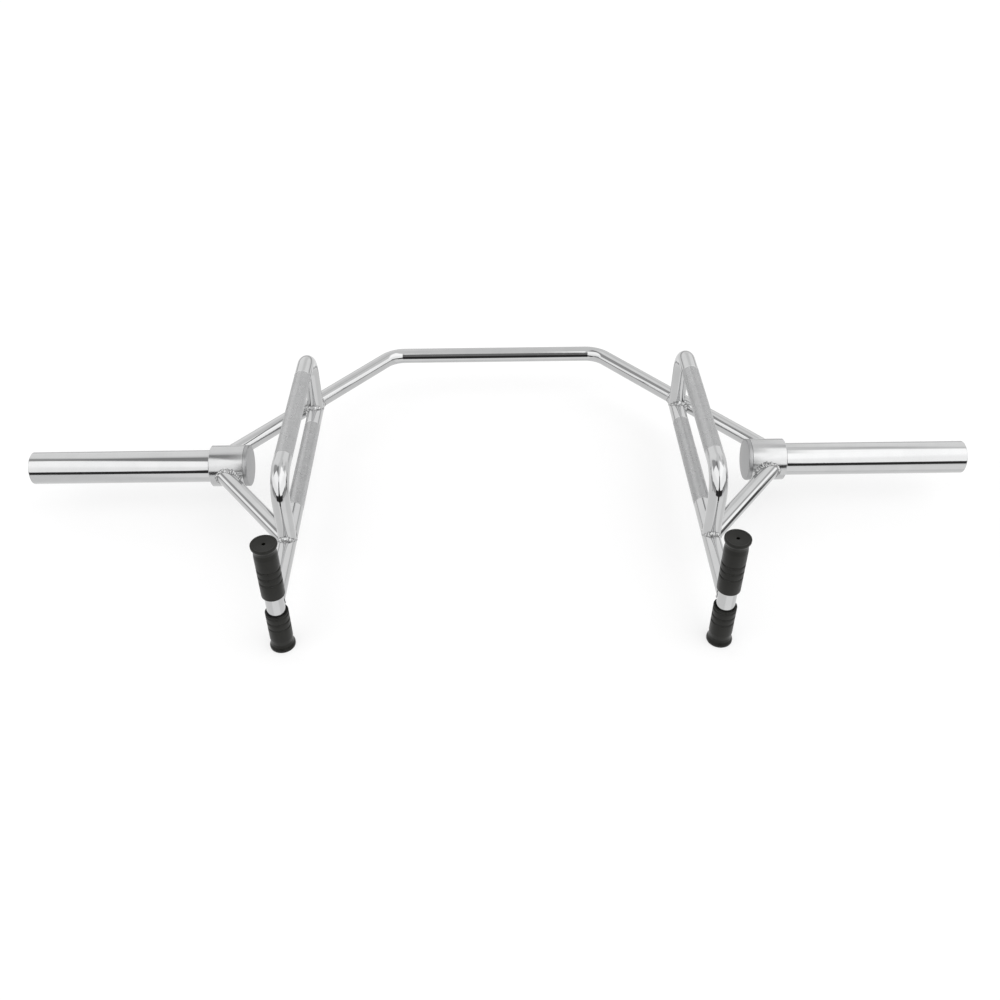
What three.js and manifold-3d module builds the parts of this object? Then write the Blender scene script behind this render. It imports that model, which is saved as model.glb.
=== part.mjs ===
// Open-ended trap bar: two loading sleeves joined by a bent rear bar, with a knurled low handle, a raised
// handle and an upright with two rubber grips on each side. Millimetres, +Z up, sleeves along X, the user
// walks in from -Y. The origin is under the middle of the bar, on the plane of the lower grips' ends.
import * as THREE from 'three';
import * as BufferGeometryUtils from 'three/addons/utils/BufferGeometryUtils.js';
import Module from 'manifold-3d';

const wasm = await Module();
wasm.setup();

// ---- driving dimensions ----

const BAR_LENGTH = 1422;
const CLEARANCE = 0.3;
const WELD_LEG = 3;

const TUBE_DIAMETER = 25;
const TUBE_WALL = 3;
const HIGH_HANDLE_DIAMETER = 25.4;

const SLEEVE_DIAMETER = 49;
const SLEEVE_WALL = 4;
const SLEEVE_DISC_THICKNESS = 5;
const SLEEVE_DISC_RECESS = 2;

const HUB_WALL = 6.7;
const HUB_LENGTH = 58;
const HUB_CHAMFER = 1.2;
const HUB_PLATE_THICKNESS = 6;
const LOADABLE_LENGTH = 274;

const REAR_BAR_DEPTH = 315;
const REAR_CORNER_X = 180;
const REAR_LANDING_FROM_STOP = 22.1;
const REAR_BEND_RADIUS = 45;

const HANDLE_SPACING = 594;
const FRONT_JOINT_Y = -175.5;
const STRUT_LANDING_FROM_STOP = 27.2;

const HIGH_HANDLE_RISE = 107;
const REAR_FOOT_FROM_CROSSING = 25.3;
const HIGH_HANDLE_BEND_RADIUS = 38;

const POST_Y = -296.5;
const UPPER_GRIP_LENGTH = 87;
const LOWER_GRIP_LENGTH = 64.4;
const GRIP_WALL = 2.8;
const GRIP_FLANGE_OVERHANG = 1.7;
const GRIP_FLANGE_THICKNESS = 4.2;
const GRIP_NECK_DEPTH = 0.7;
const GRIP_NECK_LENGTH = 7;
const GRIP_END_THICKNESS = 4;
const GRIP_END_HOLE_DIAMETER = 4.6;
const GRIP_GROOVE_DEPTH = 1.1;
const GRIP_GROOVE_WIDTH = 2.6;
const GRIP_FIRST_GROOVE = 39.5;
const GRIP_GROOVE_PITCH = 10.8;
const GRIP_GROOVES = 3;
const GRIP_EDGE = 0.8;

// Facets round each kind of piece, all multiples of 4 so that the widest points lie on the axes.
const TUBE_SIDES = 20;
const BORE_SIDES = 12;
const TURNED_SIDES = 24;
const BEND_STEPS = 5;

// ---- derived sizes ----

const tubeRadius = TUBE_DIAMETER / 2;
const highRadius = HIGH_HANDLE_DIAMETER / 2;
const sleeveRadius = SLEEVE_DIAMETER / 2;
const hubRadius = sleeveRadius + CLEARANCE + HUB_WALL;
const gripRadius = tubeRadius + CLEARANCE + GRIP_WALL;
const flangeRadius = gripRadius + GRIP_FLANGE_OVERHANG;
const railX = HANDLE_SPACING / 2;
const sleeveEndX = BAR_LENGTH / 2;
const hubOuterX = sleeveEndX - LOADABLE_LENGTH;
const hubInnerX = hubOuterX - HUB_LENGTH;
const rearAimX = aimX(hubOuterX - REAR_LANDING_FROM_STOP, REAR_CORNER_X, REAR_BAR_DEPTH);
const strutAimX = aimX(hubOuterX - STRUT_LANDING_FROM_STOP, railX, -FRONT_JOINT_Y);
const railRearY = (REAR_BAR_DEPTH * (rearAimX - railX)) / (rearAimX - REAR_CORNER_X);
const rearFootY = railRearY - REAR_FOOT_FROM_CROSSING;
const gripOpenEnd = tubeRadius + WELD_LEG + CLEARANCE;
const upperGripEnd = gripOpenEnd + UPPER_GRIP_LENGTH;
const lowerGripEnd = -gripOpenEnd - LOWER_GRIP_LENGTH;
const postTop = upperGripEnd - GRIP_END_THICKNESS - CLEARANCE;
const postBottom = lowerGripEnd + GRIP_END_THICKNESS + CLEARANCE;
const frontEdgeY = POST_Y - flangeRadius;
const rearEdgeY = REAR_BAR_DEPTH + tubeRadius;

// Where a tube that lands on the hub's surface at landingX, coming from (fromX, fromY), meets the axis.
function aimX(landingX, fromX, fromY) {
  return landingX + ((landingX - fromX) * hubRadius) / (fromY - hubRadius);
}

// ---- materials ----

function chrome() {
  return new THREE.MeshStandardMaterial({ color: 0xc4c5c7, roughness: 0.12, metalness: 1 });
}

function brushedSteel() {
  return new THREE.MeshStandardMaterial({ color: 0x9a9b9d, roughness: 0.42, metalness: 1 });
}

function blackRubber() {
  return new THREE.MeshStandardMaterial({ color: 0x22221f, roughness: 0.72, metalness: 0 });
}

// ---- geometry helpers ----

function circle(radius, sides) {
  const points = [];
  for (let i = 0; i < sides; i += 1) {
    const angle = (2 * Math.PI * i) / sides;
    points.push(new THREE.Vector2(radius * Math.cos(angle), radius * Math.sin(angle)));
  }
  return points;
}

// A tube's centre line, given as stations: a point and its direction, at each end of a straight and
// at equal steps round a bend.
class TubeLine extends THREE.Curve {
  constructor(stations) {
    super();
    this.stations = stations;
  }

  at(u) {
    return this.stations[Math.round(u * (this.stations.length - 1))];
  }

  getPoint(u, target = new THREE.Vector3()) {
    return target.copy(this.at(u).point);
  }

  getPointAt(u, target = new THREE.Vector3()) {
    return target.copy(this.at(u).point);
  }

  getTangentAt(u, target = new THREE.Vector3()) {
    return target.copy(this.at(u).direction);
  }
}

// Centre line through the corners, each inner corner rounded to the bend radius.
function bentLine(corners, bendRadius) {
  const stations = [];
  const last = corners.length - 1;
  const towards = (a, b) => b.clone().sub(a).normalize();
  stations.push({ point: corners[0], direction: towards(corners[0], corners[1]) });
  for (let i = 1; i < last; i += 1) {
    const arriving = towards(corners[i - 1], corners[i]);
    const leaving = towards(corners[i], corners[i + 1]);
    const turn = arriving.angleTo(leaving);
    const setback = bendRadius * Math.tan(turn / 2);
    const start = corners[i].clone().addScaledVector(arriving, -setback);
    const axis = arriving.clone().cross(leaving).normalize();
    const inward = axis.clone().cross(arriving);
    const centre = start.clone().addScaledVector(inward, bendRadius);
    for (let step = 0; step <= BEND_STEPS; step += 1) {
      const angle = (turn * step) / BEND_STEPS;
      const spoke = start.clone().sub(centre).applyAxisAngle(axis, angle);
      const direction = arriving.clone().applyAxisAngle(axis, angle);
      stations.push({ point: centre.clone().add(spoke), direction });
    }
  }
  stations.push({ point: corners[last], direction: towards(corners[last - 1], corners[last]) });
  return new TubeLine(stations);
}

function sweep(line, radius, boreRadius) {
  const section = new THREE.Shape(circle(radius, TUBE_SIDES));
  if (boreRadius > 0) {
    section.holes.push(new THREE.Path(circle(boreRadius, BORE_SIDES)));
  }
  const steps = line.stations.length - 1;
  return new THREE.ExtrudeGeometry(section, { extrudePath: line, steps });
}

function tube(line, radius) {
  return solid(sweep(line, radius, radius - TUBE_WALL));
}

function rod(line, radius) {
  return solid(sweep(line, radius, 0));
}

// A turned piece about +Z: the profile is [radius, height] pairs and closes on itself.
function turned(profile) {
  const points = profile.map(([radius, height]) => new THREE.Vector2(radius, height));
  points.push(points[0].clone());
  const geometry = new THREE.LatheGeometry(points, TURNED_SIDES);
  geometry.rotateX(Math.PI / 2);
  return geometry;
}

function solid(geometry) {
  geometry.deleteAttribute('normal');
  geometry.deleteAttribute('uv');
  const merged = BufferGeometryUtils.mergeVertices(geometry, 1e-4);
  const mesh = new wasm.Mesh({
    numProp: 3,
    vertProperties: new Float32Array(merged.attributes.position.array),
    triVerts: new Uint32Array(merged.index.array),
  });
  return new wasm.Manifold(mesh);
}

function cutBy(body, ...cutters) {
  return cutters.reduce((rest, cutter) => rest.subtract(cutter), body);
}

function joined(...bodies) {
  return bodies.reduce((sum, body) => sum.add(body));
}

function toGeometry(body) {
  const mesh = body.getMesh();
  const geometry = new THREE.BufferGeometry();
  geometry.setAttribute('position', new THREE.BufferAttribute(mesh.vertProperties, 3));
  geometry.setIndex(new THREE.BufferAttribute(mesh.triVerts, 1));
  geometry.computeVertexNormals();
  return geometry;
}

// ---- centre lines of the frame tubes, all in the plane of the sleeve axis ----

function flat(x, y) {
  return new THREE.Vector3(x, y, 0);
}

const rearLine = bentLine([
  flat(-rearAimX, 0),
  flat(-REAR_CORNER_X, REAR_BAR_DEPTH),
  flat(REAR_CORNER_X, REAR_BAR_DEPTH),
  flat(rearAimX, 0),
], REAR_BEND_RADIUS);

function strutLine(side) {
  return bentLine([flat(side * strutAimX, 0), flat(side * railX, FRONT_JOINT_Y)], 0);
}

function railLine(side) {
  return bentLine([flat(side * railX, railRearY), flat(side * railX, POST_Y)], 0);
}

function highHandleLine(side) {
  const corner = (y, z) => new THREE.Vector3(side * railX, y, z);
  return bentLine([
    corner(FRONT_JOINT_Y, 0),
    corner(FRONT_JOINT_Y, HIGH_HANDLE_RISE),
    corner(rearFootY, HIGH_HANDLE_RISE),
    corner(rearFootY, 0),
  ], HIGH_HANDLE_BEND_RADIUS);
}

// One leg of the raised handle by itself, for the weld at its foot.
function legLine(side, y) {
  const end = (z) => new THREE.Vector3(side * railX, y, z);
  return bentLine([end(0), end(HIGH_HANDLE_RISE)], 0);
}

function postLine(side) {
  const end = (z) => new THREE.Vector3(side * railX, POST_Y, z);
  return bentLine([end(postBottom), end(postTop)], 0);
}

// ---- turned pieces ----

// Moves a piece turned about +Z to the sleeve axis, its +Z end pointing outwards.
function ontoSleeveAxis(mesh, side, x) {
  mesh.rotation.y = (side * Math.PI) / 2;
  mesh.position.x = side * x;
  return mesh;
}

function sleeveGeometry() {
  const bore = sleeveRadius - SLEEVE_WALL;
  const start = hubInnerX + HUB_PLATE_THICKNESS + CLEARANCE;
  const length = sleeveEndX - start;
  return turned([
    [bore, 0],
    [sleeveRadius, 0],
    [sleeveRadius, length],
    [bore, length],
  ]);
}

function hubCollarGeometry() {
  const bore = sleeveRadius + CLEARANCE;
  const length = HUB_LENGTH - HUB_PLATE_THICKNESS - CLEARANCE;
  return turned([
    [bore, 0],
    [hubRadius, 0],
    [hubRadius, length - HUB_CHAMFER],
    [hubRadius - HUB_CHAMFER, length],
    [bore, length],
  ]);
}

function discGeometry(radius, thickness, chamfer) {
  const edge = chamfer > 0 ? [[radius - chamfer, 0], [radius, chamfer]] : [[radius, 0]];
  return turned([[0, 0], ...edge, [radius, thickness], [0, thickness]]);
}

// Grip standing on its open end, closed end up, with a flange, a neck and a row of grooves.
function gripGeometry(length) {
  const bore = tubeRadius + CLEARANCE;
  const neckTop = length - GRIP_FLANGE_THICKNESS;
  const neckRadius = gripRadius - GRIP_NECK_DEPTH;
  const holeRadius = GRIP_END_HOLE_DIAMETER / 2;
  const profile = [
    [bore, 0],
    [gripRadius - GRIP_EDGE, 0],
    [gripRadius, GRIP_EDGE],
  ];
  for (let i = GRIP_GROOVES - 1; i >= 0; i -= 1) {
    const centre = length - GRIP_FIRST_GROOVE - i * GRIP_GROOVE_PITCH;
    profile.push([gripRadius, centre - GRIP_GROOVE_WIDTH / 2]);
    profile.push([gripRadius - GRIP_GROOVE_DEPTH, centre]);
    profile.push([gripRadius, centre + GRIP_GROOVE_WIDTH / 2]);
  }
  profile.push(
    [gripRadius, neckTop - 2 * GRIP_NECK_LENGTH],
    [neckRadius, neckTop - GRIP_NECK_LENGTH],
    [neckRadius, neckTop],
    [flangeRadius, neckTop + GRIP_EDGE],
    [flangeRadius, length - GRIP_EDGE],
    [flangeRadius - GRIP_EDGE, length],
    [holeRadius, length],
    [holeRadius, length - GRIP_END_THICKNESS],
    [bore, length - GRIP_END_THICKNESS],
  );
  return turned(profile);
}

// ---- solid cylinders on the sleeve axis: the hub itself, and a longer one that cuts tube ends to it ----

function axisCylinder(side, outerX, radius) {
  const length = outerX - hubInnerX;
  const geometry = discGeometry(radius, length, 0);
  geometry.rotateY((side * Math.PI) / 2);
  geometry.translate(side * hubInnerX, 0, 0);
  return solid(geometry);
}

function hubCutter(side) {
  return axisCylinder(side, sleeveEndX, hubRadius + CLEARANCE);
}

// ---- the assembly ----

const group = new THREE.Group();
group.position.set(0, -(frontEdgeY + rearEdgeY) / 2, -lowerGripEnd);

function addPiece(name, geometry, material) {
  const mesh = new THREE.Mesh(geometry, material);
  mesh.name = name;
  group.add(mesh);
  return mesh;
}

function addGrip(name, side, length, pointsUp) {
  const mesh = addPiece(name, gripGeometry(length), blackRubber());
  const openEnd = pointsUp ? gripOpenEnd : -gripOpenEnd;
  mesh.rotation.x = pointsUp ? 0 : Math.PI;
  mesh.position.set(side * railX, POST_Y, openEnd);
}

function addTurnedSteel(side, word) {
  const plate = discGeometry(hubRadius, HUB_PLATE_THICKNESS, HUB_CHAMFER);
  const disc = discGeometry(sleeveRadius - SLEEVE_WALL - CLEARANCE, SLEEVE_DISC_THICKNESS, 0);
  const collarX = hubInnerX + HUB_PLATE_THICKNESS + CLEARANCE;
  const discX = sleeveEndX - SLEEVE_DISC_RECESS - SLEEVE_DISC_THICKNESS;
  ontoSleeveAxis(addPiece(`loading_sleeve_${word}`, sleeveGeometry(), chrome()), side, collarX);
  ontoSleeveAxis(addPiece(`hub_collar_${word}`, hubCollarGeometry(), chrome()), side, collarX);
  ontoSleeveAxis(addPiece(`hub_end_plate_${word}`, plate, brushedSteel()), side, hubInnerX);
  ontoSleeveAxis(addPiece(`sleeve_end_disc_${word}`, disc, brushedSteel()), side, discX);
}

// The bead along the seams of the given pieces: where any two of them, thickened by the weld leg, meet.
function weldBead(shapes, ...cutters) {
  const thick = shapes.map((make) => make(WELD_LEG));
  const snug = shapes.map((make) => make(CLEARANCE));
  const seams = [];
  for (let i = 0; i < thick.length; i += 1) {
    for (let j = i + 1; j < thick.length; j += 1) {
      seams.push(thick[i].intersect(thick[j]));
    }
  }
  return toGeometry(cutBy(joined(...seams), ...snug, ...cutters));
}

function addFrameTubes(side, word) {
  const rear = (extra) => rod(rearLine, tubeRadius + extra);
  const rail = (extra) => rod(railLine(side), tubeRadius + extra);
  const strut = (extra) => rod(strutLine(side), tubeRadius + extra);
  const rearLeg = (extra) => rod(legLine(side, rearFootY), highRadius + extra);
  const frontLeg = (extra) => rod(legLine(side, FRONT_JOINT_Y), highRadius + extra);
  const post = (extra) => rod(postLine(side), tubeRadius + extra);
  const hub = (extra) => axisCylinder(side, hubOuterX, hubRadius + extra);

  const railTube = cutBy(tube(railLine(side), tubeRadius), rear(CLEARANCE), post(CLEARANCE));
  const strutTube = cutBy(tube(strutLine(side), tubeRadius), hubCutter(side), rail(CLEARANCE));
  const highTube = cutBy(
    tube(highHandleLine(side), highRadius),
    rail(CLEARANCE),
    strut(CLEARANCE),
    rear(CLEARANCE),
  );
  addPiece(`side_rail_${word}`, toGeometry(railTube), chrome());
  addPiece(`front_strut_${word}`, toGeometry(strutTube), chrome());
  addPiece(`high_handle_${word}`, toGeometry(highTube), chrome());
  addPiece(`front_post_${word}`, toGeometry(tube(postLine(side), tubeRadius)), chrome());
  addPiece(`weld_rear_joint_${word}`, weldBead([rail, rear, rearLeg]), chrome());
  addPiece(`weld_front_joint_${word}`, weldBead([rail, strut, frontLeg]), chrome());
  addPiece(`weld_strut_hub_${word}`, weldBead([strut, hub], hubCutter(side)), chrome());
  addPiece(`weld_rear_hub_${word}`, weldBead([rear, hub], hubCutter(side)), chrome());
  addPiece(`weld_post_rail_${word}`, weldBead([rail, post]), chrome());
}

const rearTube = cutBy(tube(rearLine, tubeRadius), hubCutter(-1), hubCutter(1));
addPiece('rear_bar', toGeometry(rearTube), chrome());

for (const [side, word] of [[-1, 'left'], [1, 'right']]) {
  addTurnedSteel(side, word);
  addFrameTubes(side, word);
  addGrip(`upper_grip_${word}`, side, UPPER_GRIP_LENGTH, true);
  addGrip(`lower_grip_${word}`, side, LOWER_GRIP_LENGTH, false);
}

export default group;
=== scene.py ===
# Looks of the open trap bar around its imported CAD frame. Metres, the same frame as the CAD: sleeves along X,
# the user walks in from -Y, +Z up. Every faceted CAD piece is stood for by a smooth, detailed one.
import bpy
import math
import random
from mathutils import Matrix, Vector
from mathutils.noise import noise as noise_value

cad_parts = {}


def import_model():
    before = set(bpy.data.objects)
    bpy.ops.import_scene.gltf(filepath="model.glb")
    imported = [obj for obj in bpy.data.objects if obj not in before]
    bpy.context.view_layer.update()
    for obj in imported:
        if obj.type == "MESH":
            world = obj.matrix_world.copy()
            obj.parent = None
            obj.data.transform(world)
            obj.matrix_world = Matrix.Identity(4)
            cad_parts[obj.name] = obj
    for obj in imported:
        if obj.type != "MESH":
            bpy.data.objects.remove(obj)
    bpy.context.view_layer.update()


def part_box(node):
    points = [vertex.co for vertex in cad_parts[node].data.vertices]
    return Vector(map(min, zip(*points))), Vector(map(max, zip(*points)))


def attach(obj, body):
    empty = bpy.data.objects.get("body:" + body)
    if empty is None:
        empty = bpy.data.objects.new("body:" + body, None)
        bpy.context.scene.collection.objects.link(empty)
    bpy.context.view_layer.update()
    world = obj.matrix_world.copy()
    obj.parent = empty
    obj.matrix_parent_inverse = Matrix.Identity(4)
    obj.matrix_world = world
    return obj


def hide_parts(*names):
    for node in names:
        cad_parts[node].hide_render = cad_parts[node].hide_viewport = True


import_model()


MM = 0.001

# ---- sizes that the CAD boxes do not give, in metres ----

CLEARANCE = 0.3 * MM
TUBE_WALL = 3 * MM
SLEEVE_WALL = 4 * MM
SLEEVE_EDGE = 0.9 * MM
HUB_CHAMFER = 1.2 * MM
HUB_EDGE = 0.35 * MM
DISC_EDGE = 0.6 * MM
REAR_CORNER_X = 180 * MM
REAR_LANDING_FROM_STOP = 22.1 * MM
REAR_BEND_RADIUS = 45 * MM
FRONT_JOINT_FROM_POST = 121 * MM
STRUT_LANDING_FROM_STOP = 27.2 * MM
HIGH_HANDLE_BEND_RADIUS = 38 * MM
KNURL_DEPTH = 0.27 * MM
KNURL_ROW = 1.42 * MM
KNURL_TOP = 0.58  # a diamond's flat top, as a share of the way from its middle to its corners
LOW_KNURL = (-106 * MM, 100 * MM)  # a knurled band's two ends, from the sleeve axis towards +Y
HIGH_KNURL = (-125 * MM, 80 * MM)

# How long a coped tube's end stretch is, in tube radii. It has to be longer than its cope is deep.
RAIL_FRONT_LEAD = 2
RAIL_REAR_LEAD = 2.6
STRUT_LEAD = 3
HANDLE_LEAD = 2.2
COPE_REACH = 1.0  # metres that a point moves when it meets nothing

SIDES = 96
TURNED_SIDES = 128
BEND_STEPS = 20
FILLET_STEPS = 4
ON_AXIS = 1e-7

# ---- places, read from the CAD nodes ----


def middle(node, axis):
    low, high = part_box(node)
    return (low[axis] + high[axis]) / 2


def half(node, axis):
    low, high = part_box(node)
    return (high[axis] - low[axis]) / 2


X, Y, Z = 0, 1, 2
axis_y = middle("loading_sleeve_right", Y)
axis_z = middle("loading_sleeve_right", Z)
sleeve_radius = half("loading_sleeve_right", Y)
hub_radius = half("hub_collar_right", Z)
tube_radius = half("front_post_right", X)
high_radius = half("high_handle_right", X)
rail_x = middle("front_post_right", X)
post_y = middle("front_post_right", Y)
bar_end_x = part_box("loading_sleeve_right")[1][X]
sleeve_start_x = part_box("loading_sleeve_right")[0][X]
hub_outer_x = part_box("hub_collar_right")[1][X]
hub_collar_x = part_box("hub_collar_right")[0][X]
plate_inner_x, plate_outer_x = (corner[X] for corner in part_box("hub_end_plate_right"))
rear_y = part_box("rear_bar")[1][Y] - tube_radius
front_joint_y = post_y + FRONT_JOINT_FROM_POST
high_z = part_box("high_handle_right")[1][Z] - high_radius
rear_foot_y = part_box("high_handle_right")[1][Y] - high_radius


def aim_x(landing_x, from_x, from_y):
    """Where a tube that lands on the hub at landing_x, coming from the side, meets the sleeve axis."""
    reach = abs(from_y - axis_y)
    return landing_x + (landing_x - from_x) * hub_radius / (reach - hub_radius)


rear_aim_x = aim_x(hub_outer_x - REAR_LANDING_FROM_STOP, REAR_CORNER_X, rear_y)
strut_aim_x = aim_x(hub_outer_x - STRUT_LANDING_FROM_STOP, rail_x, front_joint_y)
rail_rear_y = axis_y + (rear_y - axis_y) * (rear_aim_x - rail_x) / (rear_aim_x - REAR_CORNER_X)

# ---- materials ----


def new_material(name):
    material = bpy.data.materials.new(name)
    material.use_nodes = True
    tree = material.node_tree
    return material, tree, tree.nodes["Principled BSDF"]


def node(tree, kind, **values):
    made = tree.nodes.new(kind)
    for key, value in values.items():
        if key in made.inputs:
            made.inputs[key].default_value = value
        else:
            setattr(made, key, value)
    return made


def link(tree, source, output, target, socket):
    tree.links.new(source.outputs[output], target.inputs[socket])


def object_coordinates(tree, scale):
    """Object coordinates stretched by a scale per axis, so that a noise is drawn out along one of them."""
    place = node(tree, "ShaderNodeTexCoord")
    mapping = node(tree, "ShaderNodeMapping")
    mapping.inputs["Scale"].default_value = scale
    link(tree, place, "Object", mapping, "Vector")
    return mapping


def noise(tree, scale, detail=2.0, stretch=(1, 1, 1)):
    mapping = object_coordinates(tree, stretch)
    made = node(tree, "ShaderNodeTexNoise", Scale=scale, Detail=detail)
    link(tree, mapping, "Vector", made, "Vector")
    return made


def ramp(tree, source, stops):
    made = node(tree, "ShaderNodeValToRGB")
    elements = made.color_ramp.elements
    while len(elements) < len(stops):
        elements.new(0.5)
    for element, (position, value) in zip(elements, stops):
        element.position = position
        element.color = (*value, 1) if isinstance(value, tuple) else (value, value, value, 1)
    link(tree, source, 0, made, "Fac")
    return made


def bump(tree, shader, source, distance, strength=1.0, below=None):
    """Bumps the shader by the source's height, on top of the bump below."""
    made = node(tree, "ShaderNodeBump", Distance=distance, Strength=strength)
    link(tree, source, 0, made, "Height")
    if below is not None:
        link(tree, below, "Normal", made, "Normal")
    link(tree, made, "Normal", shader, "Normal")
    return made


WIPE_SCALE = 140
ORANGE_PEEL_SCALE = 60
POLISH_SCALE = 900
POLISH_DEPTH = 0.004 * MM


def chrome(name, tint, rough, haze, orange_peel, stretch=(1, 1, 1), patch_scale=38, dullest=0.955):
    """Chrome plate: a slightly uneven mirror with wiped patches, from rough to haze, and very fine polishing
    lines. stretch draws both out along an axis. Patches of patch_scale darken the tint down to dullest."""
    material, tree, shader = new_material(name)
    shader.inputs["Metallic"].default_value = 1
    patches = noise(tree, patch_scale, 4)
    dull = tuple(channel * dullest for channel in tint)
    tone = ramp(tree, patches, [(0.3, dull), (0.62, tint)])
    link(tree, tone, "Color", shader, "Base Color")
    wipes = noise(tree, WIPE_SCALE, 5, stretch)
    roughness = ramp(tree, wipes, [(0.32, rough), (0.7, haze)])
    link(tree, roughness, "Color", shader, "Roughness")
    broad = noise(tree, ORANGE_PEEL_SCALE, 2)
    waves = bump(tree, shader, broad, orange_peel)
    lines = noise(tree, POLISH_SCALE, 3, stretch)
    bump(tree, shader, lines, POLISH_DEPTH, below=waves)
    return material


CHROME_TINT = (0.552, 0.554, 0.556)
HUB_TINT = (0.535, 0.537, 0.539)
WELD_TINT = (0.6, 0.602, 0.604)
KNURL_TINT = (0.51, 0.512, 0.515)
frame_chrome = chrome("frame_chrome", CHROME_TINT, 0.035, 0.085, 0.02 * MM)
sleeve_chrome = chrome("sleeve_chrome", CHROME_TINT, 0.05, 0.11, 0.01 * MM, stretch=(0.04, 1, 1))
hub_chrome = chrome("hub_chrome", HUB_TINT, 0.14, 0.24, 0.03 * MM, stretch=(0.3, 1, 1))
# The weld's chrome darkens at random, in small patches, down to 0.3 of its tint: partly soot and oxide on the
# bead, partly painted shade that stands in for the shade in the bead's hollows.
weld_chrome = chrome("weld_chrome", WELD_TINT, 0.04, 0.16, 0.45 * MM, patch_scale=330, dullest=0.3)
knurl_chrome = chrome("knurl_chrome", KNURL_TINT, 0.24, 0.4, 0.02 * MM, patch_scale=34, dullest=0.94)

PLATE_DARK = (0.3, 0.302, 0.305)
PLATE_LIGHT = (0.42, 0.422, 0.425)
TOOL_MARK_SCALE = 2600.0
TOOL_MARK_DEPTH = 0.02 * MM


def brushed_plate():
    """Turned steel face: fine concentric tool marks about the sleeve axis, in a mid grey."""
    material, tree, shader = new_material("brushed_plate")
    shader.inputs["Metallic"].default_value = 1
    place = node(tree, "ShaderNodeTexCoord")
    centre = node(tree, "ShaderNodeVectorMath", operation="SUBTRACT")
    centre.inputs[1].default_value = (0, axis_y, axis_z)
    link(tree, place, "Object", centre, 0)
    flatten = node(tree, "ShaderNodeVectorMath", operation="MULTIPLY")
    flatten.inputs[1].default_value = (0, 1, 1)
    link(tree, centre, "Vector", flatten, 0)
    radius = node(tree, "ShaderNodeVectorMath", operation="LENGTH")
    link(tree, flatten, "Vector", radius, 0)
    rings = node(tree, "ShaderNodeTexNoise", noise_dimensions="1D", Scale=TOOL_MARK_SCALE, Detail=3.0)
    tree.links.new(radius.outputs["Value"], rings.inputs["W"])
    tone = ramp(tree, rings, [(0.3, PLATE_DARK), (0.7, PLATE_LIGHT)])
    link(tree, tone, "Color", shader, "Base Color")
    roughness = ramp(tree, rings, [(0.3, 0.42), (0.7, 0.3)])
    link(tree, roughness, "Color", shader, "Roughness")
    bump(tree, shader, rings, TOOL_MARK_DEPTH)
    return material


RUBBER_BLACK = (0.0062, 0.0062, 0.0047)
RUBBER_DUSTY = (0.0086, 0.0086, 0.0068)
RUBBER_SHEEN = 0.25
GRAIN_SCALE = 2600
GRAIN_DEPTH = 0.06 * MM


def grip_rubber():
    """Black moulded rubber: fine grain, a slightly worn sheen and a little pale dust."""
    material, tree, shader = new_material("grip_rubber")
    shader.inputs["Specular IOR Level"].default_value = RUBBER_SHEEN
    dust = noise(tree, 45, 5)
    tone = ramp(tree, dust, [(0.35, RUBBER_BLACK), (0.75, RUBBER_DUSTY)])
    link(tree, tone, "Color", shader, "Base Color")
    wear = noise(tree, 160, 4)
    roughness = ramp(tree, wear, [(0.3, 0.3), (0.7, 0.43)])
    link(tree, roughness, "Color", shader, "Roughness")
    grain = noise(tree, GRAIN_SCALE, 2)
    bump(tree, shader, grain, GRAIN_DEPTH, strength=0.7)
    return material


plate_metal = brushed_plate()
rubber = grip_rubber()

# ---- mesh helpers ----

SHARP = math.radians(32)
PARALLEL = 1e-12
STRAIGHT = 1e-3
MOST_OF_AN_EDGE = 0.45


def finish_piece(name, points, faces, materials, nodes, second=()):
    """A smooth-shaded mesh piece that stands for the given CAD nodes. The faces numbered in second take the
    second material."""
    mesh = bpy.data.meshes.new(name)
    mesh.from_pydata([tuple(p) for p in points], [], faces)
    for material in materials:
        mesh.materials.append(material)
    for index in second:
        mesh.polygons[index].material_index = 1
    mesh.shade_smooth()
    mesh.set_sharp_from_angle(angle=SHARP)
    mesh.validate()
    mesh.update()
    piece = bpy.data.objects.new(name, mesh)
    bpy.context.scene.collection.objects.link(piece)
    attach(piece, "root")
    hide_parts(*nodes)


def rounded(corners, bend_radius):
    """Stations (point, direction) along the corners, each inner corner rounded to the bend radius."""
    stations = [(corners[0], (corners[1] - corners[0]).normalized())]
    for before, corner, after in zip(corners, corners[1:], corners[2:]):
        arriving = (corner - before).normalized()
        leaving = (after - corner).normalized()
        turn = arriving.angle(leaving)
        start = corner - arriving * (bend_radius * math.tan(turn / 2))
        axis = arriving.cross(leaving).normalized()
        centre = start + axis.cross(arriving) * bend_radius
        for step in range(BEND_STEPS + 1):
            turned_by = Matrix.Rotation(turn * step / BEND_STEPS, 3, axis)
            stations.append((centre + turned_by @ (start - centre), turned_by @ arriving))
    stations.append((corners[-1], (corners[-1] - corners[-2]).normalized()))
    return stations


def spokes(direction, plane_normal):
    """Unit vectors round a tube, square to its direction; the first lies along the plane's normal."""
    across = direction.cross(plane_normal).normalized()
    for i in range(SIDES):
        angle = 2 * math.pi * i / SIDES
        yield plane_normal * math.cos(angle) + across * math.sin(angle)


def coped(point, direction, axis_point, axis_direction, radius):
    """Where a line, travelling along direction, first meets an infinite cylinder; None where it misses it."""
    axis_direction = axis_direction.normalized()
    offset = point - axis_point
    along = direction - axis_direction * direction.dot(axis_direction)
    square = offset - axis_direction * offset.dot(axis_direction)
    a = along.dot(along)
    b = 2 * along.dot(square)
    c = square.dot(square) - radius * radius
    root = b * b - 4 * a * c
    if root < 0 or a < PARALLEL:
        return None
    return (-b - math.sqrt(root)) / (2 * a)


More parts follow.
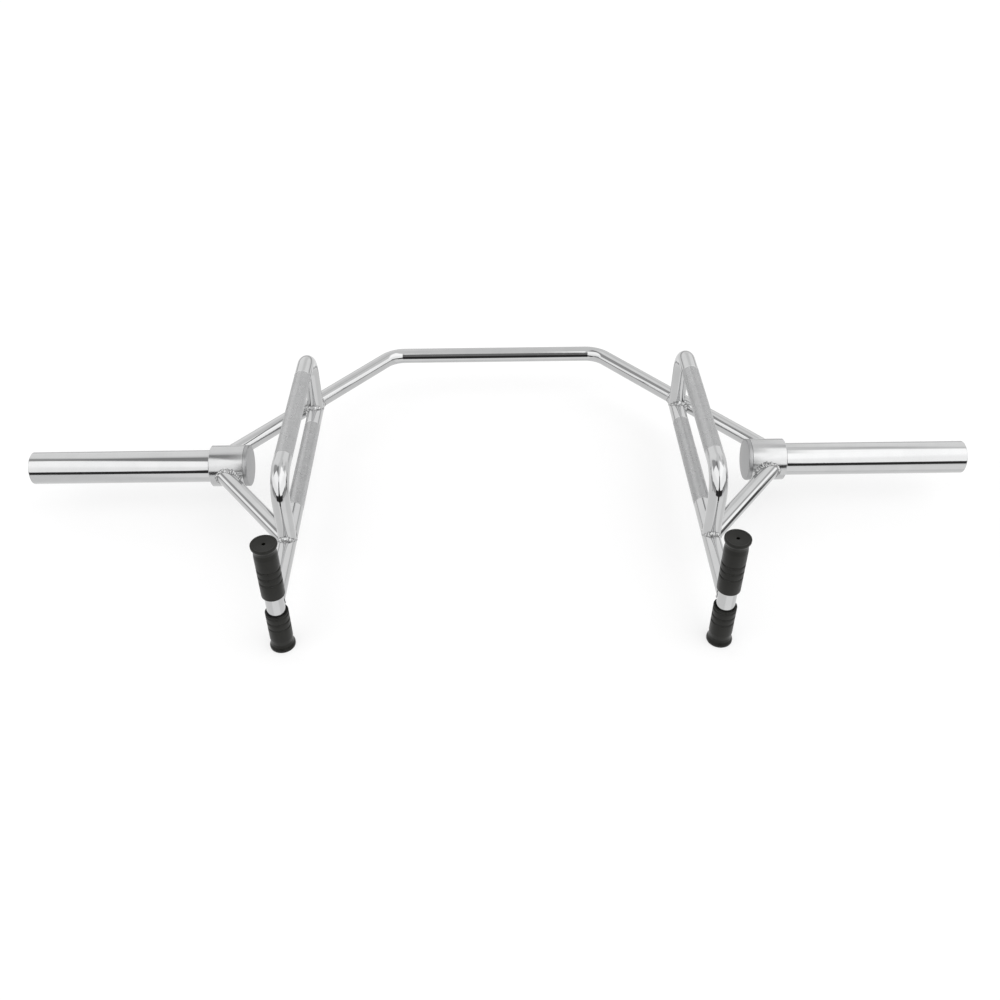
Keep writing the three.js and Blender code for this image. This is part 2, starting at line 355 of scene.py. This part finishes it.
def cope_ring(ring, direction, cutters):
    """Moves each point of a ring along direction to the first cutter it meets."""
    moved = []
    for point in ring:
        reach = COPE_REACH
        for axis_point, axis_direction, radius in cutters:
            met = coped(point, direction, axis_point, axis_direction, radius)
            if met is not None:
                reach = min(reach, met)
        moved.append(point + direction * reach)
    return moved


def ring_at(point, direction, radius, plane_normal):
    return [point + spoke * radius for spoke in spokes(direction, plane_normal)]


def add_ring(points, ring):
    """Adds a ring's points and returns their numbers."""
    first = len(points)
    points.extend(ring)
    return list(range(first, first + len(ring)))


def join_rings(faces, first, second, flip=False):
    count = len(first)
    for i in range(count):
        j = (i + 1) % count
        quad = (first[i], first[j], second[j], second[i])
        faces.append(quad[::-1] if flip else quad)


def add_knurl(points, faces, second, before, start, direction, length, radius, plane_normal):
    """A band of flat-topped diamonds cut into a tube, their tops at its own radius. Valleys cross at the
    points whose column and row add up to an even number, and a diamond stands on each odd point. Returns the
    last ring."""
    rows = 2 * round(length / KNURL_ROW / 2)
    across = direction.cross(plane_normal).normalized()
    low, high = radius - KNURL_DEPTH, radius

    def place(column, row, reach):
        angle = 2 * math.pi * column / SIDES
        spoke = plane_normal * math.cos(angle) + across * math.sin(angle)
        points.append(start + direction * (length * row / rows) + spoke * reach)
        return len(points) - 1

    shoulder = ring_at(start - direction * KNURL_DEPTH, direction, radius, plane_normal)
    shoulder = add_ring(points, shoulder)
    join_rings(faces, before, shoulder)
    valleys = {}
    for row in range(rows + 1):
        for column in range(SIDES):
            if (row + column) % 2 == 0 or row in (0, rows):
                valleys[column, row] = place(column, row, low)
    first_ring = [valleys[column, 0] for column in range(SIDES)]
    last_ring = [valleys[column, rows] for column in range(SIDES)]
    join_rings(faces, shoulder, first_ring)
    for row in range(rows + 1):
        for column in range((row + 1) % 2, SIDES, 2):
            left, right = valleys[(column - 1) % SIDES, row], valleys[(column + 1) % SIDES, row]
            if row == 0:
                middle, above = valleys[column, 0], valleys[column, 1]
                new = [(left, middle, above), (middle, right, above)]
            elif row == rows:
                middle, below = valleys[column, rows], valleys[column, rows - 1]
                new = [(below, middle, left), (below, right, middle)]
            else:
                base = [valleys[column, row - 1], right, valleys[column, row + 1], left]
                top = [place(column, row - KNURL_TOP, high), place(column + KNURL_TOP, row, high),
                       place(column, row + KNURL_TOP, high), place(column - KNURL_TOP, row, high)]
                new = [(base[i], base[(i + 1) % 4], top[(i + 1) % 4], top[i]) for i in range(4)]
                new.append(tuple(top))
            second.extend(range(len(faces), len(faces) + len(new)))
            faces.extend(new)
    end = start + direction * (length + KNURL_DEPTH)
    shoulder = add_ring(points, ring_at(end, direction, radius, plane_normal))
    join_rings(faces, last_ring, shoulder)
    return shoulder


def tube_piece(name, stations, radius, plane_normal, materials, nodes,
               cope_start=None, cope_end=None, knurl=None):
    """A tube with a bore along the stations. Each end may be coped to other tubes. knurl gives (station
    number, offset, length): a knurled band on the straight after that station. Returns its two end rings as
    points."""
    points, faces, second = [], [], []
    walls = []
    for reach in (radius, radius - TUBE_WALL):
        rings = [ring_at(point, direction, reach, plane_normal) for point, direction in stations]
        if cope_start:
            rings[0] = cope_ring(rings[1], -stations[0][1], cope_start)
        if cope_end:
            rings[-1] = cope_ring(rings[-2], stations[-1][1], cope_end)
        walls.append(rings)
    outer, bore = walls
    first = previous = add_ring(points, outer[0])
    for number, ring in enumerate(outer[1:], 1):
        if knurl and number == knurl[0] + 1:
            point, direction = stations[knurl[0]]
            previous = add_knurl(points, faces, second, previous, point + direction * knurl[1], direction,
                                 knurl[2], radius, plane_normal)
        ring = add_ring(points, ring)
        join_rings(faces, previous, ring)
        previous = ring
    inside = add_ring(points, bore[0])
    join_rings(faces, first, inside, flip=True)
    for ring in bore[1:]:
        ring = add_ring(points, ring)
        join_rings(faces, inside, ring, flip=True)
        inside = ring
    join_rings(faces, previous, inside)
    finish_piece(name, points, faces, materials, nodes, second)
    return outer[0], outer[-1]


def turned_piece(name, profile, place, materials, nodes, sides=TURNED_SIDES):
    """A turned piece: the profile of (radius, height) closes on itself, and place moves it from the Z axis to
    where it stands."""
    points, faces = [], []
    rings = []
    for radius, height in profile:
        if radius < ON_AXIS:
            rings.append([len(points)] * sides)
            points.append(place @ Vector((0, 0, height)))
            continue
        rings.append(list(range(len(points), len(points) + sides)))
        for i in range(sides):
            angle = 2 * math.pi * i / sides
            points.append(place @ Vector((radius * math.cos(angle), radius * math.sin(angle), height)))
    for ring, following in zip(rings, rings[1:] + rings[:1]):
        for i in range(sides):
            j = (i + 1) % sides
            corners = []
            for index in (ring[i], ring[j], following[j], following[i]):
                if index not in corners:
                    corners.append(index)
            if len(corners) > 2:
                faces.append(tuple(corners))
    finish_piece(name, points, faces, materials, nodes)


def fillet(corner_before, corner, corner_after, radius):
    """Points that round one corner of a profile."""
    a, b, c = Vector(corner_before), Vector(corner), Vector(corner_after)
    into, out = (b - a).normalized(), (c - b).normalized()
    turn = into.angle(out)
    if turn < STRAIGHT:
        return [tuple(b)]
    shorter = min((b - a).length, (c - b).length)
    setback = min(radius * math.tan(turn / 2), MOST_OF_AN_EDGE * shorter)
    start, end = b - into * setback, b + out * setback
    made = []
    for step in range(FILLET_STEPS + 1):
        t = step / FILLET_STEPS
        made.append(tuple(start * (1 - t) ** 2 + b * (2 * t * (1 - t)) + end * t ** 2))
    return made


def softened(profile, radius):
    """The profile with every corner off the axis rounded."""
    made = []
    count = len(profile)
    for i, corner in enumerate(profile):
        if corner[0] < ON_AXIS:
            made.append(corner)
        else:
            made.extend(fillet(profile[i - 1], corner, profile[(i + 1) % count], radius))
    return made


# ---- weld beads ----

BEAD_SECTION = 16
BEAD_STEP = 0.42 * MM
BEAD_LEG = 4.6 * MM
BEAD_THINNEST, BEAD_FULLEST = 0.2, 1.1
BEAD_GROWTH = 0.9
BEAD_HEIGHT, BEAD_WIDTH = 0.88, 1.1
FEWEST_STEPS = 24
RIPPLE_PITCH = 3.0 * MM
FEWEST_RIPPLES = 8
RIPPLE_SPREAD = 0.16
RIPPLE_LEAN = 0.22
RIPPLE_LAG = 0.45
RIPPLE_VALLEY, RIPPLE_SWELL = 0.76, 0.28
RIPPLE_ROUNDNESS = 0.8
LUMP_SCALE = 520
LUMP_DRIFT = 0.35
LUMP_SIZE = 0.16


def resampled(points, step):
    """The closed curve through the points, as evenly spaced points, with its length."""
    loop = points + points[:1]
    lengths = [0.0]
    for a, b in zip(loop, loop[1:]):
        lengths.append(lengths[-1] + (b - a).length)
    total = lengths[-1]
    count = max(FEWEST_STEPS, round(total / step))
    made, i = [], 0
    for k in range(count):
        target = total * k / count
        while lengths[i + 1] < target:
            i += 1
        span = lengths[i + 1] - lengths[i]
        share = (target - lengths[i]) / span if span > 1e-9 else 0.0
        made.append(loop[i].lerp(loop[i + 1], share))
    return made, total


def bead_mesh(points_out, faces_out, curve, outward, seed):
    """A rippled weld bead along a closed curve: overlapping dabs, each a little different in size and lean.
    outward gives, for a point, the direction off both tubes and the share of its full size that the bead has
    there."""
    rng = random.Random(seed)
    line, total = resampled(curve, BEAD_STEP)
    count = len(line)
    ripples = max(FEWEST_RIPPLES, round(total / RIPPLE_PITCH))
    sizes = [rng.uniform(1 - RIPPLE_SPREAD, 1 + RIPPLE_SPREAD) for _ in range(ripples)]
    shifts = [rng.uniform(-RIPPLE_LEAN, RIPPLE_LEAN) for _ in range(ripples)]
    base = len(points_out)
    for k, centre in enumerate(line):
        ahead = (line[(k + 1) % count] - line[k - 1]).normalized()
        up, corner = outward(centre)
        up = (up - ahead * up.dot(ahead)).normalized()
        leg = BEAD_LEG * corner
        side = ahead.cross(up)
        for m in range(BEAD_SECTION):
            angle = 2 * math.pi * m / BEAD_SECTION
            phase = (ripples * k / count + RIPPLE_LAG * math.cos(angle)) % ripples
            number = int(phase) % ripples
            dome = math.sin(math.pi * (phase - int(phase))) ** RIPPLE_ROUNDNESS
            lump = 1 + LUMP_SIZE * noise_value(centre * LUMP_SCALE + Vector((m * LUMP_DRIFT, 0, 0)))
            size = leg * sizes[number] * (RIPPLE_VALLEY + RIPPLE_SWELL * dome) * lump
            high = BEAD_HEIGHT * size * math.cos(angle)
            across = BEAD_WIDTH * size * math.sin(angle) + leg * shifts[number]
            points_out.append(centre + up * high + side * across)
    rings = [list(range(base + k * BEAD_SECTION, base + (k + 1) * BEAD_SECTION)) for k in range(count)]
    for ring, following in zip(rings, rings[1:] + rings[:1]):
        join_rings(faces_out, ring, following)


def bead_piece(name, loops, nodes):
    """A piece of one or more beads, each given as (closed curve, outward)."""
    points, faces = [], []
    for number, (curve, outward) in enumerate(loops):
        bead_mesh(points, faces, curve, outward, f"{name}{number}")
    finish_piece(name, points, faces, [weld_chrome], nodes)


def off_axes(first, second):
    """For a point where two cylinders meet, each given as (point, direction): the direction off both at once,
    and the size of the bead there, full in a corner and thin where the surfaces run on into each other."""
    def outward(place):
        normals = []
        for axis_point, axis_direction in (first, second):
            unit = axis_direction.normalized()
            offset = place - axis_point
            normals.append((offset - unit * offset.dot(unit)).normalized())
        corner = 1 - normals[0].dot(normals[1])
        size = min(BEAD_FULLEST, BEAD_THINNEST + BEAD_GROWTH * corner)
        return (normals[0] + normals[1]).normalized(), size
    return outward


# ---- the frame ----

UP = Vector((0, 0, 1))


def at(x, y, z=None):
    """A point, at the sleeve axis's height if none is given."""
    return Vector((x, y, axis_z if z is None else z))


for_side = {"left": -1, "right": 1}
sleeve_axis = (at(0, axis_y), Vector((1, 0, 0)))
rear_corners = [at(-rear_aim_x, axis_y), at(-REAR_CORNER_X, rear_y),
                at(REAR_CORNER_X, rear_y), at(rear_aim_x, axis_y)]
hub_cutter = [(*sleeve_axis, hub_radius + CLEARANCE)]
rear_end_left, rear_end_right = tube_piece(
    "rear_bar_tube", rounded(rear_corners, REAR_BEND_RADIUS), tube_radius, UP, [frame_chrome],
    ["rear_bar"], hub_cutter, hub_cutter)
rear_ends = {"left": rear_end_left, "right": rear_end_right}


def side_axis(side, x):
    """Lays a turned piece on the sleeve axis, from x outward on its side."""
    return Matrix.Translation((side * x, axis_y, axis_z)) @ Matrix.Rotation(side * math.pi / 2, 4, "Y")


def turned_steel(word, side):
    """One side's sleeve, hub collar, hub end plate and the disc in the sleeve's outer end."""
    bore = sleeve_radius - SLEEVE_WALL
    length = bar_end_x - sleeve_start_x
    profile = [(bore, 0), (sleeve_radius, 0), (sleeve_radius, length), (bore, length)]
    turned_piece(f"sleeve_{word}", softened(profile, SLEEVE_EDGE), side_axis(side, sleeve_start_x),
                 [sleeve_chrome], [f"loading_sleeve_{word}"])

    inner = sleeve_radius + CLEARANCE
    length = hub_outer_x - hub_collar_x
    profile = [(inner, 0), (hub_radius, 0), (hub_radius, length - HUB_CHAMFER),
               (hub_radius - HUB_CHAMFER, length), (inner, length)]
    turned_piece(f"collar_{word}", softened(profile, HUB_EDGE), side_axis(side, hub_collar_x), [hub_chrome],
                 [f"hub_collar_{word}"])

    thickness = plate_outer_x - plate_inner_x
    profile = [(0, 0), (hub_radius - HUB_CHAMFER, 0), (hub_radius, HUB_CHAMFER),
               (hub_radius, thickness), (0, thickness)]
    turned_piece(f"end_plate_{word}", softened(profile, HUB_EDGE), side_axis(side, plate_inner_x),
                 [plate_metal], [f"hub_end_plate_{word}"])

    low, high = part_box(f"sleeve_end_disc_{word}")
    start = min(abs(low[X]), abs(high[X]))
    thickness = high[X] - low[X]
    radius = (high[Z] - low[Z]) / 2
    profile = [(0, 0), (radius, 0), (radius, thickness), (0, thickness)]
    turned_piece(f"sleeve_disc_{word}", softened(profile, DISC_EDGE), side_axis(side, start), [plate_metal],
                 [f"sleeve_end_disc_{word}"])


def frame_side(word, side):
    """One side's rail, strut, raised handle, upright and weld beads."""
    x = side * rail_x
    along = Vector((0, 1, 0))
    rear_corner = at(side * REAR_CORNER_X, rear_y)
    rear_diagonal = (rear_corner, at(side * rear_aim_x, axis_y) - rear_corner)
    strut_start, strut_end = at(x, front_joint_y), at(side * strut_aim_x, axis_y)
    strut_axis = (strut_start, strut_end - strut_start)
    rail_axis = (at(x, 0), along)
    post_axis = (at(x, post_y), UP)
    rear_leg = (at(x, rear_foot_y), UP)
    front_leg = (at(x, front_joint_y), UP)
    tight = tube_radius + CLEARANCE

    # Low rail, from the upright back to the rear bar, with a knurled hand hold.
    start = at(x, post_y + RAIL_FRONT_LEAD * tube_radius)
    end = at(x, rail_rear_y - RAIL_REAR_LEAD * tube_radius)
    stations = [(at(x, post_y), along), (start, along), (end, along), (at(x, rail_rear_y), along)]
    knurl = (1, axis_y + LOW_KNURL[0] - start.y, LOW_KNURL[1] - LOW_KNURL[0])
    rail_front, rail_back = tube_piece(
        f"low_rail_{word}", stations, tube_radius, UP, [frame_chrome, knurl_chrome], [f"side_rail_{word}"],
        [(*post_axis, tight)], [(*rear_diagonal, tight)], knurl)

    # Strut from the rail out to the hub.
    direction = strut_axis[1].normalized()
    lead = STRUT_LEAD * tube_radius
    stations = [(strut_start, direction), (strut_start + direction * lead, direction),
                (strut_end - direction * (hub_radius + lead), direction), (strut_end, direction)]
    strut_foot, strut_head = tube_piece(
        f"strut_{word}", stations, tube_radius, UP, [frame_chrome], [f"front_strut_{word}"],
        [(*rail_axis, tight)], hub_cutter)

    # Raised handle: an inverted U with its grip length knurled.
    corners = [at(x, front_joint_y), at(x, front_joint_y, high_z),
               at(x, rear_foot_y, high_z), at(x, rear_foot_y)]
    stations = rounded(corners, HIGH_HANDLE_BEND_RADIUS)
    lift = HANDLE_LEAD * tube_radius
    stations.insert(1, (corners[0] + UP * lift, UP))
    stations.insert(-1, (corners[-1] + UP * lift, -UP))
    top_start = BEND_STEPS + 2  # the first bend's last station
    first = stations[top_start][0]
    knurl = (top_start, axis_y + HIGH_KNURL[0] - first.y, HIGH_KNURL[1] - HIGH_KNURL[0])
    rail_cutter = (*rail_axis, tight)
    front_foot, back_foot = tube_piece(
        f"raised_handle_{word}", stations, high_radius, Vector((1, 0, 0)), [frame_chrome, knurl_chrome],
        [f"high_handle_{word}"], [rail_cutter], [rail_cutter], knurl)

    # Upright, with its ends inside the two grips.
    low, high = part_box(f"front_post_{word}")
    stations = [(at(x, post_y, low[Z]), UP), (at(x, post_y, high[Z]), UP)]
    tube_piece(f"upright_{word}", stations, tube_radius, Vector((1, 0, 0)), [frame_chrome],
               [f"front_post_{word}"])

    bead_piece(f"bead_rear_joint_{word}", [
        (rail_back, off_axes(rail_axis, rear_diagonal)),
        (back_foot, off_axes(rear_leg, rail_axis)),
    ], [f"weld_rear_joint_{word}"])
    bead_piece(f"bead_front_joint_{word}", [
        (strut_foot, off_axes(strut_axis, rail_axis)),
        (front_foot, off_axes(front_leg, rail_axis)),
    ], [f"weld_front_joint_{word}"])
    bead_piece(f"bead_strut_hub_{word}", [(strut_head, off_axes(strut_axis, sleeve_axis))],
               [f"weld_strut_hub_{word}"])
    bead_piece(f"bead_rear_hub_{word}", [(rear_ends[word], off_axes(rear_diagonal, sleeve_axis))],
               [f"weld_rear_hub_{word}"])
    bead_piece(f"bead_post_rail_{word}", [(rail_front, off_axes(rail_axis, post_axis))],
               [f"weld_post_rail_{word}"])


# ---- grips ----

GRIP_FLANGE_OVERHANG = 1.7 * MM
GRIP_FLANGE_THICKNESS = 4.2 * MM
GRIP_NECK_DEPTH = 0.7 * MM
GRIP_NECK_LENGTH = 7 * MM
GRIP_END_THICKNESS = 4 * MM
GRIP_HOLE_RADIUS = 2.3 * MM
GRIP_RIM_WIDTH = 2.6 * MM
GRIP_RIM_SLOPE = 0.5 * MM
GRIP_DISH_DEPTH = 0.6 * MM
GRIP_EDGE = 0.7 * MM
GRIP_FLARE_REACH, GRIP_FLARE_DROP = 0.25, 0.4  # where the neck's flare turns, as shares of its own size
GRIP_FLARE_END = 0.8 * MM
GROOVE_DEPTH = 1.3 * MM
GROOVE_WIDTH = 3.4 * MM
FIRST_GROOVE = 39.5 * MM
GROOVE_PITCH = 10.8 * MM
GROOVES = 3


def grip_profile(length, flange_radius):
    """Section of a grip standing on its open end: a body with grooves, a neck that flares into a flange, and
    a dished, closed end with a small hole."""
    body = flange_radius - GRIP_FLANGE_OVERHANG
    bore = tube_radius + CLEARANCE
    neck = body - GRIP_NECK_DEPTH
    neck_top = length - GRIP_FLANGE_THICKNESS
    corners = [(bore, 0), (body, 0)]
    for i in reversed(range(GROOVES)):
        centre = length - FIRST_GROOVE - i * GROOVE_PITCH
        corners += [(body, centre - GROOVE_WIDTH / 2), (body - GROOVE_DEPTH, centre - GROOVE_WIDTH / 6),
                    (body - GROOVE_DEPTH, centre + GROOVE_WIDTH / 6), (body, centre + GROOVE_WIDTH / 2)]
    flare = neck + GRIP_FLARE_REACH * (flange_radius - neck)
    rim = flange_radius - GRIP_RIM_WIDTH
    dish = length - GRIP_DISH_DEPTH
    closed_from = length - GRIP_END_THICKNESS
    corners += [(body, neck_top - 2 * GRIP_NECK_LENGTH), (neck, neck_top - GRIP_NECK_LENGTH),
                (flare, neck_top - GRIP_FLARE_DROP * GRIP_NECK_LENGTH),
                (flange_radius, neck_top + GRIP_FLARE_END), (flange_radius, length),
                (rim, length), (rim - GRIP_RIM_SLOPE, dish),
                (GRIP_HOLE_RADIUS, dish), (GRIP_HOLE_RADIUS, closed_from), (bore, closed_from)]
    return softened(corners, GRIP_EDGE)


def grip(side, node_name, name, points_up):
    """One grip on a side's upright, with its flange at the top, or at the bottom."""
    low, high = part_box(node_name)
    flange_radius = (high[X] - low[X]) / 2
    length = high[Z] - low[Z]
    if points_up:
        place = Matrix.Translation((side * rail_x, post_y, low[Z]))
    else:
        place = Matrix.Translation((side * rail_x, post_y, high[Z])) @ Matrix.Rotation(math.pi, 4, "X")
    profile = grip_profile(length, flange_radius)
    turned_piece(name, profile, place, [rubber], [node_name], SIDES)


for word, side in for_side.items():
    turned_steel(word, side)
    frame_side(word, side)
    grip(side, f"upper_grip_{word}", f"rubber_upper_{word}", True)
    grip(side, f"lower_grip_{word}", f"rubber_lower_{word}", False)

# ---- floor, light and camera ----

FLOOR_REACH = 40.0
FLOOR_Z = -0.0004
FLOOR_ALBEDO = 0.4
FLOOR_GLOW = 0.58
FLOOR_ROUGHNESS = 0.9


def floor():
    """A pale floor. The chrome does not mirror it: like the rest of the studio below the horizon it is drawn
    by the world, so that reflections stay even and end in the same dark horizon line all along the bar."""
    mesh = bpy.data.meshes.new("studio_floor")
    corners = [(-1, -1), (1, -1), (1, 1), (-1, 1)]
    mesh.from_pydata([(x * FLOOR_REACH, y * FLOOR_REACH, FLOOR_Z) for x, y in corners], [], [(0, 1, 2, 3)])
    material, _, shader = new_material("studio_floor")
    shader.inputs["Base Color"].default_value = (*[FLOOR_ALBEDO] * 3, 1)
    shader.inputs["Roughness"].default_value = FLOOR_ROUGHNESS
    shader.inputs["Specular IOR Level"].default_value = 0.0
    shader.inputs["Emission Color"].default_value = (1, 1, 1, 1)
    shader.inputs["Emission Strength"].default_value = FLOOR_GLOW
    mesh.materials.append(material)
    piece = bpy.data.objects.new("studio_floor", mesh)
    piece.visible_glossy = False
    bpy.context.scene.collection.objects.link(piece)


# The studio that the chrome reflects, as flat panels far away: softboxes left and right of a dark camera
# stand, a dark horizon, a dark and a bright patch overhead, a pale bounce from below, and weaker panels
# beside and behind the bar. They were set to match where the photograph's chrome is light and dark.
# A panel faces the bar along a heading, in degrees from -Y towards +X, and its limits are degrees across and
# up it. An overhead panel (heading None) has limits towards +X and towards +Y from the zenith. Each panel
# covers those before it in the list, and SURROUND is the brightness where there is none.
SURROUND = 0.93
EDGE_ON = 0.002  # a direction has to point this much towards a panel to see it
STUDIO_PANELS = [
    # heading, (across from, to), (up from, to), brightness, (side, lower, upper) edge softness in degrees
    (-148, (-24, 24), (6, 62), 1.13, (16, 12, 12)),
    (151, (-18, 14), (8, 46), 1.13, (10, 8, 8)),
    (180, (-42, 42), (-8, 1), 0.5, (12, 4, 4)),
    (24, (-45, 35), (-58, -19), 1.1, (14, 4, 8)),
    (None, (-33, -7), (-24, 12), 0.34, (8, 8, 8)),
    (None, (12, 36), (-27, 11), 1.72, (5, 8, 8)),
    (138, (-8, 8), (50, 62), 0.74, (6, 5, 4)),
    (-104, (-17, 15), (24, 62), 0.48, (6, 6, 8)),
    (-95, (-11, 11), (4, 24), 1.45, (4, 4, 5)),
    (112, (-7, 8), (27, 38), 0.62, (4, 3, 4)),
    (130, (-10, 12), (36, 50), 1.14, (5, 4, 6)),
    (103, (-9, 5), (7, 28), 1.6, (4, 4, 3)),
    (101, (-5, 5), (-20, 6), 0.1, (4, 6, 3)),
    (-99, (-6, 6), (-9, 1), 0.4, (4, 4, 3)),
    (0, (-36, 36), (-15.5, 3.5), 0.04, (6, 4, 3)),
    (-64, (-34, 30), (-9, 5), 0.5, (6, 4, 4)),
    (66, (-30, 30), (-9, 5), 0.5, (6, 4, 4)),
    (-47, (-41, 40), (5, 67), 1.38, (3, 4, 9)),
    (-47, (-41, 40), (34, 67), 1.6, (3, 20, 9)),
    (52, (-45, 44), (5, 71), 1.5, (3, 4, 8)),
    (52, (-45, 44), (40, 71), 1.74, (3, 20, 8)),
    (-56, (-21, 19), (1, 9), 0.3, (5, 3, 3)),
    (56, (-19, 21), (1, 9), 0.3, (5, 3, 3)),
    (0, (-38, 38), (-6, 5), 0.04, (5, 3, 3)),
    (0, (-11, 11), (-12, 9), 0.04, (5, 4, 6)),
    (0, (-7.5, 7), (-25, 50), 0.23, (3, 7, 5)),
    (0, (-7.5, 7), (-19, 15), 0.03, (3, 5, 8)),
]


def arithmetic(tree, operation, *inputs):
    """The output of a maths node whose inputs are numbers or other nodes' outputs."""
    made = node(tree, "ShaderNodeMath", operation=operation)
    for index, value in enumerate(inputs):
        if isinstance(value, (int, float)):
            made.inputs[index].default_value = value
        else:
            tree.links.new(value, made.inputs[index])
    return made.outputs[0]


def dot(tree, direction, vector):
    made = node(tree, "ShaderNodeVectorMath", operation="DOT_PRODUCT")
    tree.links.new(direction, made.inputs[0])
    made.inputs[1].default_value = vector
    return made.outputs["Value"]


def step_between(tree, value, low, high, soft_low, soft_high):
    """1 where a slope is between two angles in degrees, falling smoothly to 0 over each edge's softness."""
    product = None
    for edge, blur in ((low, soft_low), (high, -soft_high)):
        made = node(tree, "ShaderNodeMapRange", interpolation_type="SMOOTHSTEP")
        tree.links.new(value, made.inputs["Value"])
        made.inputs["From Min"].default_value = math.tan(math.radians(edge - blur / 2))
        made.inputs["From Max"].default_value = math.tan(math.radians(edge + blur / 2))
        made.inputs["To Min"].default_value = 0
        made.inputs["To Max"].default_value = 1
        out = made.outputs["Result"]
        product = out if product is None else arithmetic(tree, "MULTIPLY", product, out)
    return product


def world():
    """The studio in the world's light and reflections. The camera sees plain white instead."""
    made = bpy.data.worlds.new("studio")
    made.use_nodes = True
    bpy.context.scene.world = made
    tree = made.node_tree
    background = tree.nodes["Background"]
    direction = node(tree, "ShaderNodeTexCoord").outputs["Generated"]
    light = SURROUND
    for heading, across, up, brightness, (side, lower, upper) in STUDIO_PANELS:
        if heading is None:
            facing, right, rise = (0, 0, 1), (1, 0, 0), (0, 1, 0)
        else:
            turn = math.radians(heading)
            facing = (math.sin(turn), -math.cos(turn), 0)
            right, rise = (math.cos(turn), math.sin(turn), 0), (0, 0, 1)
        ahead = dot(tree, direction, facing)
        safe = arithmetic(tree, "MAXIMUM", ahead, EDGE_ON)
        u = arithmetic(tree, "DIVIDE", dot(tree, direction, right), safe)
        v = arithmetic(tree, "DIVIDE", dot(tree, direction, rise), safe)
        within = step_between(tree, u, *across, side, side)
        inside = arithmetic(tree, "MULTIPLY", within, step_between(tree, v, *up, lower, upper))
        in_front = arithmetic(tree, "GREATER_THAN", ahead, EDGE_ON)
        inside = arithmetic(tree, "MULTIPLY", inside, in_front)
        change = arithmetic(tree, "SUBTRACT", brightness, light)
        light = arithmetic(tree, "MULTIPLY_ADD", change, inside, light)
    seen = node(tree, "ShaderNodeLightPath").outputs["Is Camera Ray"]
    light = arithmetic(tree, "MULTIPLY_ADD", arithmetic(tree, "SUBTRACT", 1.0, light), seen, light)
    tree.links.new(light, background.inputs["Color"])
    background.inputs["Strength"].default_value = 1.0


# The photograph's camera, solved from the bar's straight tubes: where it stands, and its right and up.
CAMERA_PLACE = (-0.01511, -1.26536, 1.03855)
CAMERA_RIGHT = (0.99992, -0.00722, -0.00999)
CAMERA_UP = (0.01230, 0.63432, 0.77297)
LENS_MM = 37.04
SENSOR_MM = 36
SHIFT_X = 0.0126
NEAR_CLIP = 0.05


def camera():
    data = bpy.data.cameras.new("camera")
    data.lens = LENS_MM
    data.sensor_width = SENSOR_MM
    data.shift_x = SHIFT_X
    data.clip_start = NEAR_CLIP
    piece = bpy.data.objects.new("camera", data)
    right = Vector(CAMERA_RIGHT).normalized()
    up = Vector(CAMERA_UP)
    up = (up - right * up.dot(right)).normalized()
    back = right.cross(up)
    turn = Matrix((right, up, back)).transposed().to_4x4()
    piece.matrix_world = Matrix.Translation(CAMERA_PLACE) @ turn
    bpy.context.scene.collection.objects.link(piece)
    bpy.context.scene.camera = piece


floor()
world()
camera()
bpy.context.scene.view_settings.view_transform = "Standard"
